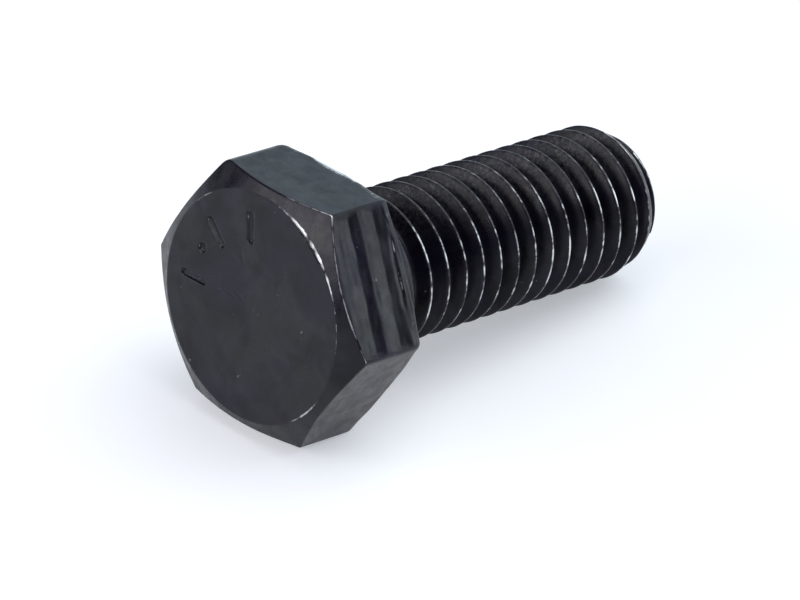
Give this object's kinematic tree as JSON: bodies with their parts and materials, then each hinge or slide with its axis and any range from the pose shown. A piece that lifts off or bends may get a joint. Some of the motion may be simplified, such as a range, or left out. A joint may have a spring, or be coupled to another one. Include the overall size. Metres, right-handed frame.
{
  "type": "hex bolt",
  "caption": "Hexagon head bolt with a metric coarse thread along its whole shank, a chamfered head with a washer face, and a tapered point.",
  "frame": {"origin": "on the bolt's axis, in the plane of the bearing face under the head", "axes": "+X along the axis from the head to the thread's point; +Z is the outward normal of one of the head's six flats"},
  "size_m": [0.0257, 0.0148, 0.0128],
  "materials": {
    "black_oxide_steel": "black oxide on steel, oiled, satin with worn bright edges"
  },
  "bodies": {
    "root": {"hex_bolt": "black_oxide_steel"}
  },
  "joints": []
}
